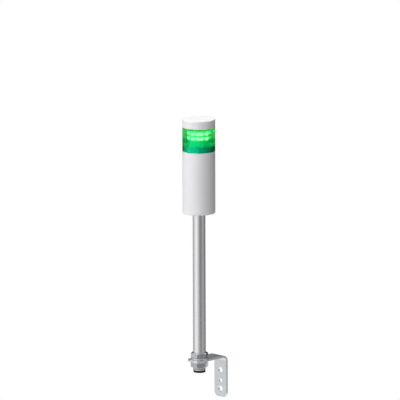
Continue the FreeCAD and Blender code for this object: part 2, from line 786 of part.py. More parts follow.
def led_chips():
    """LEDs in rows round the post, one on each strip in each row: one node of separate solids."""
    body = new_body("led_chips")
    face = "(dims.post_across_flats / 2 + dims.strip_thickness)"
    half = "dims.led_width / 2"
    middle = "dims.low_row_height"
    sketch = new_sketch(body, "led_sketch", "XY_Plane", f"{middle} - dims.led_height / 2")
    draw_rectangle(sketch, face, f"{face} + dims.led_depth", f"-{half}", half)
    led = pad(body, "led", sketch, "dims.led_height")
    rows = body.newObject("PartDesign::MultiTransform", "led_rows")
    rows.Originals = [led]
    ring = body.newObject("PartDesign::PolarPattern", "led_ring")
    ring.Axis = (origin_feature(body, "Z_Axis"), [""])
    ring.Angle = 360
    ring.setExpression("Occurrences", "dims.led_columns")
    stack = body.newObject("PartDesign::LinearPattern", "led_stack")
    stack.Direction = (origin_feature(body, "Z_Axis"), [""])
    stack.setExpression("Length", "dims.row_pitch * (dims.led_rows - 1)")
    stack.setExpression("Occurrences", "dims.led_rows")
    rows.Transformations = [ring, stack]
    body.Tip = rows
    doc.recompute()
    return place(body, f"{UNIT_BASE} + dims.base_thickness", turn=size("dims.post_turn"))


def lens_globe():
    """Clear green lens: a ring of upright prisms inside its wall, and a bayonet neck on top."""
    body = new_body("lens_globe")
    neck = f"({CAP_INSIDE} - dims.bayonet_room)"
    neck_inside = f"({neck} - dims.neck_wall)"
    top = "dims.lens_height"
    neck_top = f"({top} + {NECK_LENGTH} + dims.turn_gap)"
    ceiling = f"({top} - dims.lens_shoulder)"
    revolve(body, "lens_wall",
            [(LENS_INSIDE, "0"), (HEAD_RADIUS, "0"), (HEAD_RADIUS, top), (neck, top),
             (neck, neck_top), (neck_inside, neck_top), (neck_inside, ceiling), (LENS_INSIDE, ceiling)])
    fillet(body, "lens_edge", circles_at(body, HEAD_RADIUS, "0"), "dims.lens_edge_radius")

    prism_base = "(dims.collar_height + dims.fit_gap)"
    prism = new_sketch(body, "prism_sketch", "XY_Plane", prism_base)
    half_angle = "180 / dims.prism_count"
    rooted = f"{LENS_INSIDE} + dims.lens_wall / 4"
    draw_outline(prism, [
        (f"{LENS_INSIDE} - dims.prism_depth", "0"),
        (f"{LENS_INSIDE} * cos({half_angle})", f"{LENS_INSIDE} * sin({half_angle})"),
        (rooted, f"{LENS_INSIDE} * sin({half_angle})"),
        (rooted, f"-{LENS_INSIDE} * sin({half_angle})"),
        (f"{LENS_INSIDE} * cos({half_angle})", f"-{LENS_INSIDE} * sin({half_angle})")])
    ridge = pad(body, "prism", prism, f"{ceiling} - {prism_base}")
    repeat_round(body, "prisms", ridge, "dims.prism_count")

    sector(body, "lens_lug", f"{neck} - dims.neck_wall / 2", f"{neck} + {LUG_REACH}",
           f"{neck_top} - dims.lug_thickness", neck_top)
    return place(body, UNIT_BASE)


def seal_ring(label, shell_inside, height):
    """Square rubber ring round a bayonet neck, clear of the shell that turns round it."""
    body = new_body(label)
    inner = f"{shell_inside} - dims.bayonet_room + dims.fit_gap"
    outer = f"{shell_inside} - dims.slip"
    revolve(body, f"{label}_section", [(inner, "0"), (outer, "0"), (outer, "dims.seal_thickness"),
                                       (inner, "dims.seal_thickness")])
    return place(body, height)


# ---------------------------------------------------------------- cap

def top_cap():
    """Shallow round cap with bayonet lugs inside its rim."""
    body = new_body("top_cap")
    top = "dims.cap_height"
    ceiling = f"({top} - dims.cap_roof)"
    revolve(body, "cap_cup",
            [("0", ceiling), (CAP_INSIDE, ceiling), (CAP_INSIDE, "0"), (HEAD_RADIUS, "0"),
             (HEAD_RADIUS, top), ("0", top)])
    fillet(body, "cap_edge", circles_at(body, HEAD_RADIUS, top), "dims.cap_edge_radius")
    sector(body, "cap_lug", f"{CAP_INSIDE} - {LUG_REACH}", f"{CAP_INSIDE} + dims.cap_wall / 2",
           SHELL_LUG_START, SHELL_LUG_END)
    return place(body, CAP_BASE)


# ---------------------------------------------------------------- build, check and write

def build():
    """Every sub-part, from the wall bracket up to the cap."""
    return [
        wall_bracket(),
        upper_washer(),
        lock_washer(),
        hexagon_nut("upper_nut", UPPER_NUT_BASE, "dims.upper_nut_turn"),
        hexagon_nut("lower_nut", LOWER_NUT_BASE, "dims.lower_nut_turn"),
        pole_tube(),
        cable_bush(),
        pole_socket(),
        socket_screws(),
        grub_screw(),
        body_housing(),
        control_board(),
        board_chips(),
        terminal_block(),
        capacitor(),
        contact_block(),
        spring_contacts(),
        unit_base(),
        seal_ring("unit_seal", BODY_INSIDE, f"{UNIT_BASE} - dims.seal_thickness"),
        contact_disc(),
        contact_rings(),
        led_post(),
        led_strips(),
        led_chips(),
        lens_globe(),
        seal_ring("cap_seal", CAP_INSIDE, LENS_TOP),
        top_cap(),
    ]


pieces = build()
doc.recompute()

for item in doc.Objects:
    if "Invalid" in item.State or "Error" in item.State:
        raise RuntimeError(f"{item.Name}: {item.State}")
for piece in pieces:
    if piece.Shape.isNull() or not piece.Shape.isValid():
        raise RuntimeError(f"{piece.Label}: shape is not valid")

os.makedirs("parts", exist_ok=True)
for piece in pieces:
    piece.Shape.exportStep(f"parts/{piece.Label}.step")
    print(f"{piece.Label}: {len(piece.Shape.Solids)} solid(s), {piece.Shape.Volume:.1f} mm3")
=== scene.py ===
"""Looks of the single-tier signal light: finishes, thread, LED glow, studio and camera."""

import json
import math

import bmesh
import bpy
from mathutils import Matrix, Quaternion, Vector


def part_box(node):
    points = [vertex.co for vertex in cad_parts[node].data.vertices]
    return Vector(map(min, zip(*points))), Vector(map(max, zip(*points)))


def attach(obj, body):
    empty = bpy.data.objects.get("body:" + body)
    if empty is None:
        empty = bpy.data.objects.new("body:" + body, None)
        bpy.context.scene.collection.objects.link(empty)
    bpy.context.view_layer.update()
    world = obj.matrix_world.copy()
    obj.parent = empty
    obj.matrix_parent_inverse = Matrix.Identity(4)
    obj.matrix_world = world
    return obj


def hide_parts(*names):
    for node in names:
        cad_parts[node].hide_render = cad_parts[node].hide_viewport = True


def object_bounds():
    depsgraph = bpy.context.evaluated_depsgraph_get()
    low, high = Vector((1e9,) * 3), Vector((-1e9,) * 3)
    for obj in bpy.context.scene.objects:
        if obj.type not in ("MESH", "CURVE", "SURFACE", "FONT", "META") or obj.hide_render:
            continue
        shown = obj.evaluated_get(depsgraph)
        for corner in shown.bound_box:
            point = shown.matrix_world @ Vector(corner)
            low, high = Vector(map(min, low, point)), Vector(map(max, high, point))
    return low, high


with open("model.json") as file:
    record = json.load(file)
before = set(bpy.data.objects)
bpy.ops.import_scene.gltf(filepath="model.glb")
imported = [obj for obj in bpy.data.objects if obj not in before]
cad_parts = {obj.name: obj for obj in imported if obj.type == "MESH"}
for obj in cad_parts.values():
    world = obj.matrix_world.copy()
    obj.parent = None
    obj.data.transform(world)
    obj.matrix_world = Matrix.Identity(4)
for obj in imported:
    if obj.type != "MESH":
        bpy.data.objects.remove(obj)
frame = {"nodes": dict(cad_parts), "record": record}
cad_low, cad_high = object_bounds()

# ---------------------------------------------------------------- sizes and places, in metres

MM = 0.001

pole_low, pole_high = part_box("pole_tube")
pole_axis = (Vector(pole_low) + Vector(pole_high)) / 2
lens_low, lens_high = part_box("lens_globe")
led_low, led_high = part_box("led_chips")
nut_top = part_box("upper_nut")[1][2]
collar_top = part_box("unit_base")[1][2]
cap_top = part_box("top_cap")[1][2]

POLE_RADIUS = (pole_high[0] - pole_low[0]) / 2
POLE_WALL = 1.5 * MM
POLE_BORE = POLE_RADIUS - POLE_WALL
POLE_SEGMENTS = 128
POLE_CREASE = 50                        # degrees: edges that turn more than this stay sharp
RIM_CHAMFER = 0.3 * MM

THREAD_PITCH = 1.0 * MM
THREAD_DEPTH = 0.45 * MM
THREAD_RELIEF = 0.1 * MM                # the crests lie this far inside the plain tube
THREAD_CREST = POLE_RADIUS - THREAD_RELIEF
THREAD_ABOVE_NUT = 0.6 * MM
THREAD_TOP = nut_top + THREAD_ABOVE_NUT - pole_low[2]
THREAD_STEPS = 10                       # rings to a turn
THREAD_FLAT = 0.12                      # flat of a crest or a root, as a share of half a turn
THREAD_AT_RIM = 0.4                     # depth at the chamfer, as a share of the full one
THREAD_SHOULDER = 0.05 * MM             # height of the cone that leads to the plain tube

BUSH_LIP = 0.9 * MM
BUSH_INSET = 0.2 * MM                   # the lip lies this far inside the tube's outside
LIP_ROUND = 0.2 * MM
LIP_ROUND_STEPS = 4
LIP_SEGMENTS = 96
LIP_CREASE = 35                         # degrees

LENS_RADIUS = (lens_high[0] - lens_low[0]) / 2
LENS_WALL = 2.4 * MM
LENS_BORE = LENS_RADIUS - LENS_WALL
PRISM_EDGE = 0.3 * MM                   # faces this near the bore count as inner ones
PRISM_FADE = 0.1 * MM                   # half the width of the step from inner to outer faces
PRISM_FOOT = 2.5 * MM                   # height above the collar over which the painted prism glow fades in
LED_HEIGHT = 2.8 * MM
LED_FACING = 0.8                        # how squarely outward the window of an LED looks
LOW_ROW = led_low[2] + LED_HEIGHT / 2
HIGH_ROW = led_high[2] - LED_HEIGHT / 2

# ---------------------------------------------------------------- finishes, in linear colours

BLACK = (0.0, 0.0, 0.0)
WHITE = (1.0, 1.0, 1.0)
OFF_WHITE = (0.80, 0.80, 0.815)
INNER_WHITE = (0.74, 0.75, 0.74)
MASK_WHITE = (0.78, 0.79, 0.78)
ALUMINIUM = (0.84, 0.84, 0.855)
ZINC = (0.805, 0.832, 0.848)
BRASS = (0.72, 0.52, 0.22)
RUBBER_BLACK = (0.012, 0.012, 0.014)
SEAL_BLACK = (0.03, 0.03, 0.03)
PLASTIC_BLACK = (0.02, 0.02, 0.022)
BOARD_GREEN = (0.02, 0.16, 0.07)
TERMINAL_GREEN = (0.03, 0.2, 0.06)
CAN_BLUE = (0.03, 0.035, 0.07)
FLOOR_GREY = (0.8, 0.8, 0.8)

# Factors on a finish's colour: in its darkest patches, on edges as wear and painted highlight, and in the
# thread's roots as dirt and painted shade.
MOULDED_DARK = 0.975
METAL_DARK = 0.86
WEAR_AND_HIGHLIGHT_LIFT = 1.12
GROOVE_SHADE = 0.4

# How far roughness moves with the tone, and the radius of softened edges.
MOULDED_SWING = 0.03
METAL_MATT = 0.06                       # rougher in the darkest patches
METAL_BRIGHT = 0.04                     # smoother in the palest
MOULDED_EDGE = 0.25 * MM
METAL_EDGE = 0.2 * MM

# Noise mostly lies in this span, and is drawn out from it to 0 and 1.
NOISE_SPAN = (0.3, 0.7)
CLOUD_SPAN = (0.32, 0.68)
BROAD_LINES = 0.18                      # scale of a drawn tube's broad lines beside its fine ones
STREAK_SCALE = 420.0
STREAK_STRETCH = (1.0, 1.0, 0.06)

# Green of the lens: its dye by depth of material, and its gloss.
LENS_DYE = (0.03, 0.947, 0.83)
LENS_DYE_DENSITY = 1180.0               # per metre
LENS_GLOSS = (0.2, 1.0, 0.5)
LENS_RIPPLE = 0.01 * MM

# Painted glow of the lens, standing in for LED light caught by its prisms: below and beside the rows, at
# the rows, and a painted haze on its outer faces.
PRISM_GLOW_BELOW = (0.0, 0.13, 0.01)
PRISM_GLOW_BAND = (0.16, 0.2, 0.06)
PRISM_GLOW_ROWS = (0.25, 0.1, 0.05)
LENS_PAINTED_HAZE = (0.032, 0.1, 0.025)
BELOW_STREAK = 1.5                      # how much brighter a painted streak is than the prisms round it
BAND_STREAK = 1.3

# Light of the LEDs: what falls on the parts round them, and how they look themselves; then the painted
# glow on the strips, at the rows and away from them.
LED_GREEN = (0.02, 1.0, 0.2)
LED_POWER = 0.3
LED_PALE = (1.6, 0.45, 0.11)
LED_GLARE = 16.0
STRIP_GLOW_PALE = (1.0, 0.45, 0.1)
STRIP_GLOW_STRENGTH = 5.0
STRIP_GLOW_AWAY = (0.0, 0.05, 0.01)

# ---------------------------------------------------------------- camera and studio

CAMERA_AZIMUTH = 45
CAMERA_ELEVATION = 11.6
CAMERA_DISTANCE = 9.0
CAMERA_ROLL = -0.18
SENSOR_WIDTH = 36.0                     # millimetres, as Blender has it
FIELD_WIDTH = 0.4864                    # width seen at the light
AIM_BELOW_CAP = 100.6 * MM
AIM_HEIGHT = cap_top - AIM_BELOW_CAP
AIM_ASIDE = 1.28 * MM                   # to the camera's right of the pole's axis

ROOM_LEVEL = 0.18                       # the room's own light on everything
FLOOR_RADIUS = 0.9
FLOOR_DROP = 0.33                       # below the bracket's foot

# Greys of the flags, each at a bearing in degrees from the camera.
RIGHT_FLAG = ((-38, 1.0), (-24, 0.8), (-6, 0.5), (10, 0.25), (40, 0.24), (66, 0.46), (90, 0.36),
              (120, 0.22), (142, 0.08), (165, 0.05))
LEFT_FLAG = ((-165, 0.3), (-140, 0.36), (-122, 0.64), (-94, 0.54), (-90, 0.68), (-84, 0.9), (-77, 1.0))
BACK_FLAG = ((150, 0.08), (210, 0.08))
LEFT_EDGE_CARD = ((-168, 0.03), (-120, 0.03), (-95, 0.3))
RIGHT_EDGE_CARD = ((30, 0.2), (60, 0.03), (168, 0.03))
FLAG_STEP = 3                           # degrees from post to post
FLAG_PANELS = 8                         # the fewest that a flag has

# Where the flags stand: distance from the pole, and heights of foot and head.
FAR = dict(distance=3.2, foot=-2.4, head=2.4)
BEHIND = dict(distance=0.55, foot=-0.25, head=0.33)
BESIDE_LENS = dict(distance=0.15, foot=lens_low[2] - 35 * MM, head=lens_high[2] - 26 * MM)

FLAGS = (
    dict(name="right_flag", shades=RIGHT_FLAG, **FAR),
    dict(name="left_flag", shades=LEFT_FLAG, **FAR),
    dict(name="back_flag", shades=BACK_FLAG, **BEHIND),
    dict(name="left_edge_card", shades=LEFT_EDGE_CARD, **BESIDE_LENS),
    dict(name="right_edge_card", shades=RIGHT_EDGE_CARD, **BESIDE_LENS),
)

# Softboxes: where they stand, seen from the light, their size, and their power in watts.
SOFTBOXES = (
    dict(name="key_softbox", azimuth=CAMERA_AZIMUTH - 50, elevation=35, distance=2.2,
         width=3.2, height=2.0, power=56.0),
    dict(name="top_softbox", azimuth=CAMERA_AZIMUTH - 20, elevation=82, distance=2.2,
         width=2.0, height=2.0, power=28.0),
    dict(name="back_softbox", azimuth=CAMERA_AZIMUTH + 180, elevation=4, distance=2.2,
         width=3.0, height=1.6, power=22.0),
)


# ---------------------------------------------------------------- node helpers

def new_node(tree, kind, **settings):
    """Node of a kind, with plain properties set by name."""
    node = tree.nodes.new(kind)
    for name, value in settings.items():
        setattr(node, name, value)
    return node


def set_inputs(node, **values):
    """Set input sockets by name, with _ in place of a space."""
    for name, value in values.items():
        node.inputs[name.replace("_", " ")].default_value = value
    return node


def find_node(tree, kind):
    """The tree's node of a kind that it has once."""
    return next(node for node in tree.nodes if node.type == kind)


def feed(tree, source, socket):
    """Feed a socket from another socket, or with a number, vector or colour."""
    if isinstance(source, bpy.types.NodeSocket):
        tree.links.new(source, socket)
    elif socket.type == "RGBA":
        socket.default_value = (*source, 1.0)
    else:
        socket.default_value = source


def math_node(tree, operation, first, second=0.0, clamp=False):
    """Math node fed by sockets or numbers; gives its output socket."""
    node = new_node(tree, "ShaderNodeMath", operation=operation, use_clamp=clamp)
    feed(tree, first, node.inputs[0])
    feed(tree, second, node.inputs[1])
    return node.outputs["Value"]


def vector_node(tree, operation, *sources, output="Vector"):
    """Vector math node fed by sockets or vectors; gives one of its output sockets."""
    node = new_node(tree, "ShaderNodeVectorMath", operation=operation)
    for source, socket in zip(sources, node.inputs):
        feed(tree, source, socket)
    return node.outputs[output]


def scale_vector(tree, vector, factor):
    """A vector times a factor, both sockets."""
    node = new_node(tree, "ShaderNodeVectorMath", operation="SCALE")
    tree.links.new(vector, node.inputs[0])
    tree.links.new(factor, node.inputs["Scale"])
    return node.outputs["Vector"]


def map_range(tree, value, low, high, to_low=0.0, to_high=1.0):
    """Clamped linear map of a socket."""
    node = new_node(tree, "ShaderNodeMapRange")
    node.inputs["From Min"].default_value = low
    node.inputs["From Max"].default_value = high
    node.inputs["To Min"].default_value = to_low
    node.inputs["To Max"].default_value = to_high
    tree.links.new(value, node.inputs["Value"])
    return node.outputs["Result"]


def mix_colours(tree, factor, first, second):
    """Colour mix fed by sockets or colours; gives its output socket."""
    node = new_node(tree, "ShaderNodeMix", data_type="RGBA")
    tree.links.new(factor, node.inputs["Factor"])
    feed(tree, first, node.inputs[6])
    feed(tree, second, node.inputs[7])
    return node.outputs[2]


def mix_shaders(tree, factor, first, second):
    """Shader mix of sockets; gives its output socket."""
    node = new_node(tree, "ShaderNodeMixShader")
    for source, socket in zip((factor, first, second), node.inputs):
        tree.links.new(source, socket)
    return node.outputs["Shader"]


def noise_at(tree, vector, scale, **settings):
    """Noise texture at a place and a scale; gives its value."""
    node = set_inputs(new_node(tree, "ShaderNodeTexNoise"), **settings)
    tree.links.new(vector, node.inputs["Vector"])
    feed(tree, scale, node.inputs["Scale"])
    return node.outputs["Fac"]


def surface_place(tree):
    """Place of a point of the surface, in the object's own frame."""
    return new_node(tree, "ShaderNodeTexCoord").outputs["Object"]


def split(tree, vector):
    """X, Y and Z of a vector, by name."""
    parts = new_node(tree, "ShaderNodeSeparateXYZ")
    tree.links.new(vector, parts.inputs["Vector"])
    return parts.outputs


def from_axis(tree):
    """Vector from the pole's axis to the point, level with it, and its length."""
    level = vector_node(tree, "MULTIPLY_ADD", surface_place(tree), (1.0, 1.0, 0.0),
                        (-pole_axis.x, -pole_axis.y, 0.0))
    return level, vector_node(tree, "LENGTH", level, output="Value")


def new_group(name, inputs, outputs):
    """Shader node group with float inputs and typed outputs; gives the tree and its two ends."""
    group = bpy.data.node_groups.new(name, "ShaderNodeTree")
    for label, value in inputs.items():
        socket = group.interface.new_socket(label, in_out="INPUT", socket_type="NodeSocketFloat")
        socket.default_value = value
    for label, kind in outputs.items():
        group.interface.new_socket(label, in_out="OUTPUT", socket_type=kind)
    return group, group.nodes.new("NodeGroupInput"), group.nodes.new("NodeGroupOutput")


def place_group(tree, group, **values):
    """A group placed in a material with its own values."""
    node = new_node(tree, "ShaderNodeGroup", node_tree=group)
    return set_inputs(node, **values)


# ---------------------------------------------------------------- shared effects

HEIGHT_AND_TONE = {"Height": "NodeSocketFloat", "Tone": "NodeSocketFloat"}


def make_moulded_grain():
    """Fine spark-eroded grain of a moulded part, with a slow drift of tone over centimetres."""
    group, start, end = new_group(
        "moulded_grain", {"Grain Scale": 2600.0, "Drift Scale": 24.0}, HEIGHT_AND_TONE)
    place = surface_place(group)
    grain = noise_at(group, place, start.outputs["Grain Scale"], Detail=2.0, Roughness=0.6)
    drift = noise_at(group, place, start.outputs["Drift Scale"], Detail=3.0, Roughness=0.5)
    group.links.new(grain, end.inputs["Height"])
    group.links.new(map_range(group, drift, *NOISE_SPAN), end.inputs["Tone"])
    return group


def make_drawn_lines():
    """Fine lines along Z, as on a drawn tube, with broader ones in their tone."""
    group, start, end = new_group(
        "drawn_lines", {"Line Scale": 2400.0, "Stretch": 0.012}, HEIGHT_AND_TONE)
    stretch = set_inputs(new_node(group, "ShaderNodeCombineXYZ"), X=1.0, Y=1.0)
    group.links.new(start.outputs["Stretch"], stretch.inputs["Z"])
    along = vector_node(group, "MULTIPLY", surface_place(group), stretch.outputs["Vector"])
    fine = noise_at(group, along, start.outputs["Line Scale"], Detail=3.0, Roughness=0.65)
    broad_scale = math_node(group, "MULTIPLY", start.outputs["Line Scale"], BROAD_LINES)
    broad = noise_at(group, along, broad_scale, Detail=2.0)
    group.links.new(fine, end.inputs["Height"])
    group.links.new(map_range(group, broad, *NOISE_SPAN), end.inputs["Tone"])
    return group


def make_plating():
    """Zinc plating: soft cloudy patches a few millimetres across, over a fine matt grain."""
    group, start, end = new_group(
        "plating", {"Cloud Scale": 320.0, "Grain Scale": 2200.0}, HEIGHT_AND_TONE)
    place = surface_place(group)
    cloud = noise_at(group, place, start.outputs["Cloud Scale"], Detail=3.0, Roughness=0.55,
                     Distortion=0.6)
    grain = noise_at(group, place, start.outputs["Grain Scale"], Detail=2.0, Roughness=0.7)
    group.links.new(grain, end.inputs["Height"])
    group.links.new(map_range(group, cloud, *CLOUD_SPAN), end.inputs["Tone"])
    return group


def make_soft_edge():
    """Broken edge: a normal rounded over a small radius, and a mask along the edge."""
    group, start, end = new_group(
        "soft_edge", {"Radius": 0.3 * MM, "Sharpness": 6.0},
        {"Normal": "NodeSocketVector", "Edge": "NodeSocketFloat"})
    bevel = new_node(group, "ShaderNodeBevel", samples=6)
    group.links.new(start.outputs["Radius"], bevel.inputs["Radius"])
    surface = new_node(group, "ShaderNodeNewGeometry")
    alike = vector_node(group, "DOT_PRODUCT", bevel.outputs["Normal"], surface.outputs["Normal"],
                        output="Value")
    apart = math_node(group, "SUBTRACT", 1.0, alike)
    sharper = math_node(group, "MULTIPLY", apart, start.outputs["Sharpness"], clamp=True)
    group.links.new(bevel.outputs["Normal"], end.inputs["Normal"])
    group.links.new(sharper, end.inputs["Edge"])
    return group


def make_painted_row_glow():
    """Mask of the painted glow of the LED rows: a soft peak at each row, a band above a lower edge, and
    upright streaks.
    """
    group, start, end = new_group(
        "painted_row_glow", {"Low Row": LOW_ROW, "High Row": HIGH_ROW, "Spread": 1.2 * MM,
                      "Band Foot": LOW_ROW + 1.2 * MM, "Edge Softness": 0.8 * MM},
        {"Rows": "NodeSocketFloat", "Band": "NodeSocketFloat", "Streaks": "NodeSocketFloat"})
    place = surface_place(group)
    height = split(group, place)["Z"]

    def above(level, unit):
        """Height over a level, in a unit of its own."""
        difference = math_node(group, "SUBTRACT", height, start.outputs[level])
        return math_node(group, "DIVIDE", difference, start.outputs[unit])

    def peak(row):
        """Soft peak of 1 at a row."""
        off = above(row, "Spread")
        fall = math_node(group, "MULTIPLY", math_node(group, "MULTIPLY", off, off), -1.0)
        return math_node(group, "EXPONENT", fall)

    group.links.new(math_node(group, "ADD", peak("Low Row"), peak("High Row")), end.inputs["Rows"])
    band = map_range(group, above("Band Foot", "Edge Softness"), -1.0, 1.0)
    group.links.new(band, end.inputs["Band"])
    along = vector_node(group, "MULTIPLY", place, STREAK_STRETCH)
    streak = noise_at(group, along, STREAK_SCALE, Detail=2.0, Roughness=0.5)
    group.links.new(map_range(group, streak, *NOISE_SPAN), end.inputs["Streaks"])
    return group


def make_fluted_wall():
    """Normal of fine upright flutes on the inner faces of the lens wall, which spread light sideways."""
    group, start, end = new_group(
        "fluted_wall", {"Flutes": 420.0, "Steepness": 0.3, "Inside": LENS_BORE + PRISM_EDGE},
        {"Normal": "NodeSocketVector"})
    outward, radius = from_axis(group)
    parts = split(group, outward)
    angle = math_node(group, "ARCTAN2", parts["Y"], parts["X"])
    wave = math_node(group, "SINE", math_node(group, "MULTIPLY", angle, start.outputs["Flutes"]))
    inner = math_node(group, "LESS_THAN", radius, start.outputs["Inside"])
    steep = math_node(group, "MULTIPLY", wave, start.outputs["Steepness"])
    tilt = math_node(group, "MULTIPLY", steep, inner)
    across = vector_node(group, "CROSS_PRODUCT", (0.0, 0.0, 1.0), outward)
    sideways = vector_node(group, "NORMALIZE", across)
    surface = new_node(group, "ShaderNodeNewGeometry")
    leaned = vector_node(group, "ADD", surface.outputs["Normal"], scale_vector(group, sideways, tilt))
    group.links.new(vector_node(group, "NORMALIZE", leaned), end.inputs["Normal"])
    return group


moulded_grain = make_moulded_grain()
drawn_lines = make_drawn_lines()
plating = make_plating()
soft_edge = make_soft_edge()
painted_row_glow = make_painted_row_glow()
fluted_wall = make_fluted_wall()


# ---------------------------------------------------------------- materials

def empty_tree(owner):
    """Node tree of a new material or world, with nothing in it."""
    owner.use_nodes = True
    owner.node_tree.nodes.clear()
    return owner.node_tree


def new_material(name, colour, **principled_values):
    """Material with a Principled BSDF; constant values go on its own sockets."""
    material = bpy.data.materials.new(name)
    tree = empty_tree(material)
    shader = new_node(tree, "ShaderNodeBsdfPrincipled")
    shader.inputs["Base Color"].default_value = (*colour, 1.0)
    set_inputs(shader, **principled_values)
    output = new_node(tree, "ShaderNodeOutputMaterial")
    tree.links.new(shader.outputs["BSDF"], output.inputs["Surface"])
    return material, tree, shader


def add_bump(tree, shader, height, distance, normal):
    """Bump of a height over a normal, both sockets, into the shader's normal."""
    bump = set_inputs(new_node(tree, "ShaderNodeBump"), Strength=1.0, Distance=distance)
    tree.links.new(height, bump.inputs["Height"])
    tree.links.new(normal, bump.inputs["Normal"])
    tree.links.new(bump.outputs["Normal"], shader.inputs["Normal"])


def times(colour, factor):
    """A colour times a factor."""
    return tuple(channel * factor for channel in colour)


def finish_moulded(name, colour, roughness, grain_depth, **values):
    """Moulded plastic or rubber: grain, a slow drift of tone, and softened edges."""
    material, tree, shader = new_material(name, colour, **values)
    grain = place_group(tree, moulded_grain)
    edge = place_group(tree, soft_edge, Radius=MOULDED_EDGE)
    tone = grain.outputs["Tone"]
    tree.links.new(mix_colours(tree, tone, times(colour, MOULDED_DARK), colour),
                   shader.inputs["Base Color"])
    tree.links.new(map_range(tree, tone, 0.0, 1.0, roughness - MOULDED_SWING, roughness + MOULDED_SWING),
                   shader.inputs["Roughness"])
    add_bump(tree, shader, grain.outputs["Height"], grain_depth, edge.outputs["Normal"])
    return material


def finish_metal(name, colour, effect, roughness, depth, dark=METAL_DARK, edge_radius=METAL_EDGE):
    """Metal with a shared surface effect in its tone and height, and edges brightened as wear and painted
    highlight.
    """
    material, tree, shader = new_material(name, colour, Metallic=1.0)
    surface = place_group(tree, effect)
    edge = place_group(tree, soft_edge, Radius=edge_radius)
    tone = surface.outputs["Tone"]
    toned = mix_colours(tree, tone, times(colour, dark), colour)
    # Edges lifted in colour: partly wear, partly a painted highlight.
    worn_and_highlit = tuple(min(1.0, channel) for channel in times(colour, WEAR_AND_HIGHLIGHT_LIFT))
    tree.links.new(mix_colours(tree, edge.outputs["Edge"], toned, worn_and_highlit), shader.inputs["Base Color"])
    tree.links.new(map_range(tree, tone, 0.0, 1.0, roughness + METAL_MATT, roughness - METAL_BRIGHT),
                   shader.inputs["Roughness"])
    add_bump(tree, shader, surface.outputs["Height"], depth, edge.outputs["Normal"])
    return material


def seen_first(tree):
    """1 for rays from the camera, direct or by polish and glass, that haven't met a matt surface yet."""
    path = new_node(tree, "ShaderNodeLightPath")
    seen = path.outputs["Is Camera Ray"]
    for kind in ("Is Glossy Ray", "Is Transmission Ray"):
        seen = math_node(tree, "ADD", seen, path.outputs[kind], clamp=True)
    fresh = math_node(tree, "LESS_THAN", path.outputs["Diffuse Depth"], 0.5)
    return math_node(tree, "MULTIPLY", seen, fresh)


def prism_faces(tree):
    """1 on the inner faces of the lens wall, above the collar."""
    _, radius = from_axis(tree)
    edge = LENS_BORE + PRISM_EDGE
    inner = map_range(tree, radius, edge - PRISM_FADE, edge + PRISM_FADE, 1.0, 0.0)
    height = split(tree, surface_place(tree))["Z"]
    above = map_range(tree, height, collar_top, collar_top + PRISM_FOOT)
    return math_node(tree, "MULTIPLY", inner, above)


def window_faces(tree):
    """1 on the outward faces of the LEDs."""
    outward, _ = from_axis(tree)
    normal = new_node(tree, "ShaderNodeTexCoord").outputs["Normal"]
    outward = vector_node(tree, "NORMALIZE", outward)
    facing = vector_node(tree, "DOT_PRODUCT", outward, normal, output="Value")
    return math_node(tree, "GREATER_THAN", facing, LED_FACING)


def lens_glow(tree):
    """Painted glow that stands in for LED light caught by the prisms, and a faint painted haze of it on
    the lens's outer faces.
    """
    light = place_group(tree, painted_row_glow, Spread=1.6 * MM)
    band, streaks = light.outputs["Band"], light.outputs["Streaks"]
    below = mix_colours(tree, streaks, PRISM_GLOW_BELOW, times(PRISM_GLOW_BELOW, BELOW_STREAK))
    above = mix_colours(tree, streaks, PRISM_GLOW_BAND, times(PRISM_GLOW_BAND, BAND_STREAK))
    banded = mix_colours(tree, band, below, above)
    lit = mix_colours(tree, light.outputs["Rows"], banded, PRISM_GLOW_ROWS)
    hazy = mix_colours(tree, band, BLACK, LENS_PAINTED_HAZE)
    return mix_colours(tree, prism_faces(tree), hazy, lit)


def let_light_in(tree, shader):
    """The lens's shader, made clear to lamp light except where that meets it at a slant."""
    slant = set_inputs(new_node(tree, "ShaderNodeFresnel"), IOR=1.5)
    clear = new_node(tree, "ShaderNodeBsdfTransparent")
    tree.links.new(mix_colours(tree, slant.outputs["Fac"], WHITE, BLACK), clear.inputs["Color"])
    path = new_node(tree, "ShaderNodeLightPath")
    return mix_shaders(tree, path.outputs["Is Shadow Ray"], shader.outputs["BSDF"], clear.outputs["BSDF"])


def finish_lens():
    """Clear green polycarbonate: the dye takes light by depth, and a painted glow stands in for the LED
    light that the prisms catch.
    """
    material, tree, shader = new_material(
        "green_lens", WHITE, Roughness=0.18, IOR=1.3, Specular_Tint=(*LENS_GLOSS, 1.0),
        Transmission_Weight=1.0, Emission_Strength=1.0)
    flutes = place_group(tree, fluted_wall)
    ripple = place_group(tree, moulded_grain, Grain_Scale=260.0, Drift_Scale=40.0)
    add_bump(tree, shader, ripple.outputs["Height"], LENS_RIPPLE, flutes.outputs["Normal"])
    # The lens is no lamp: its emission is the painted glow of the LED rows.
    tree.links.new(lens_glow(tree), shader.inputs["Emission Color"])
    dye = set_inputs(new_node(tree, "ShaderNodeVolumeAbsorption"), Density=LENS_DYE_DENSITY,
                     Color=(*LENS_DYE, 1.0))
    output = find_node(tree, "OUTPUT_MATERIAL")
    tree.links.new(let_light_in(tree, shader), output.inputs["Surface"])
    tree.links.new(dye.outputs["Volume"], output.inputs["Volume"])
    return material


def finish_led():
    """Lit resin window: green light on its surroundings, paler and brighter to look at."""
    material, tree, shader = new_material("led_window", LED_PALE, Roughness=0.3, Emission_Strength=1.0)
    seen = math_node(tree, "MULTIPLY", window_faces(tree), seen_first(tree))
    tree.links.new(mix_colours(tree, seen, times(LED_GREEN, LED_POWER), times(LED_PALE, LED_GLARE)),
                   shader.inputs["Emission Color"])
    return material


